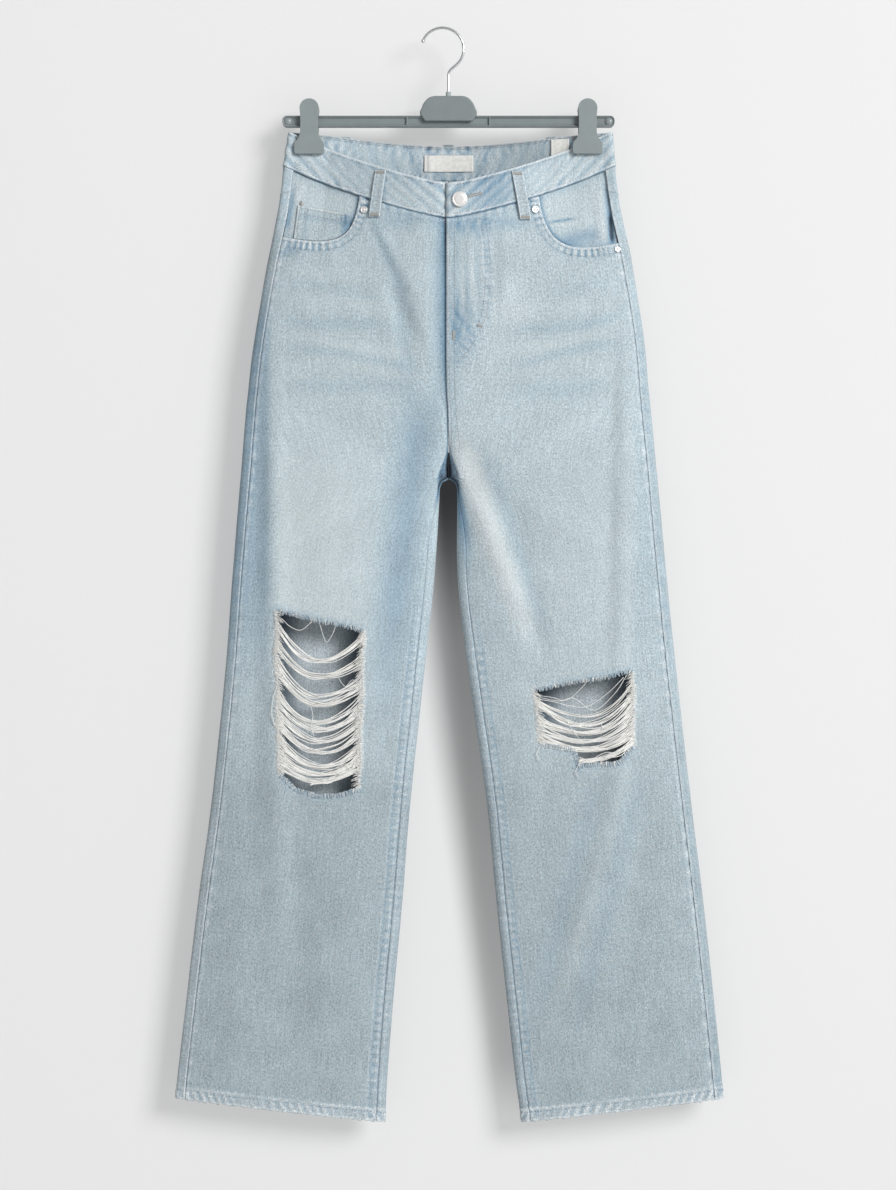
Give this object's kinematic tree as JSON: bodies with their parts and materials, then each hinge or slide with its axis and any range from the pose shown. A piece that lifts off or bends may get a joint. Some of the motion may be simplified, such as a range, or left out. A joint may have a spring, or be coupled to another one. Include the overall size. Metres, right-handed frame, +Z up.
{
  "type": "ripped jeans on a clip hanger",
  "caption": "Wide-leg light-wash jeans with ripped knees, hanging flat from a plastic clip hanger with a wire hook; open at the waist and hems.",
  "frame": {"origin": "inside top of the hook's bend, where a rail carries the hanger", "axes": "+Z up; the garment's front faces -Y; the wearer's left is towards +X"},
  "size_m": [0.599, 0.0612, 1.194],
  "materials": {
    "denim": "light stone-washed blue cotton denim, matt, with pale fades and worn edges",
    "zip_tape": "pale blue zip tape behind the fly",
    "yarn_white": "undyed cotton weft yarn, off-white, matt",
    "label_cloth": "bare off-white woven label",
    "steel": "polished nickel-plated steel",
    "hanger_plastic": "grey-green moulded plastic with a soft satin sheen"
  },
  "bodies": {
    "root": {"back_left": "denim", "back_pocket_left": "denim", "back_pocket_right": "denim", "back_right": "denim", "belt_loop_centre_back": "denim", "belt_loop_front_left": "denim", "belt_loop_front_right": "denim", "belt_loop_side_left": "denim", "belt_loop_side_right": "denim", "button": "steel", "care_label": "label_cloth", "clip_left_back": "hanger_plastic", "clip_left_front": "hanger_plastic", "clip_right_back": "hanger_plastic", "clip_right_front": "hanger_plastic", "coin_pocket": "denim", "fly_zip": "zip_tape", "front_left": "denim", "front_right": "denim", "hanger_bar": "hanger_plastic", "hook": "steel", "pocket_facing_left": "denim", "pocket_facing_right": "denim", "rip_yarn_left_10": "yarn_white", "rip_yarn_left_11": "yarn_white", "rip_yarn_left_12": "yarn_white", "rip_yarn_left_13": "yarn_white", "rip_yarn_left_14": "yarn_white", "rip_yarn_right_01": "yarn_white", "rip_yarn_right_02": "yarn_white", "rip_yarn_right_03": "yarn_white", "rip_yarn_right_04": "yarn_white", "rip_yarn_right_05": "yarn_white", "rip_yarn_right_06": "yarn_white", "rip_yarn_right_07": "yarn_white", "rip_yarn_right_08": "yarn_white", "rip_yarn_right_09": "yarn_white", "rivet_inner_left": "steel", "rivet_inner_right": "steel", "rivet_side_left": "steel", "waist_label": "label_cloth", "waistband": "denim", "yoke_left": "denim", "yoke_right": "denim"}
  },
  "joints": []
}
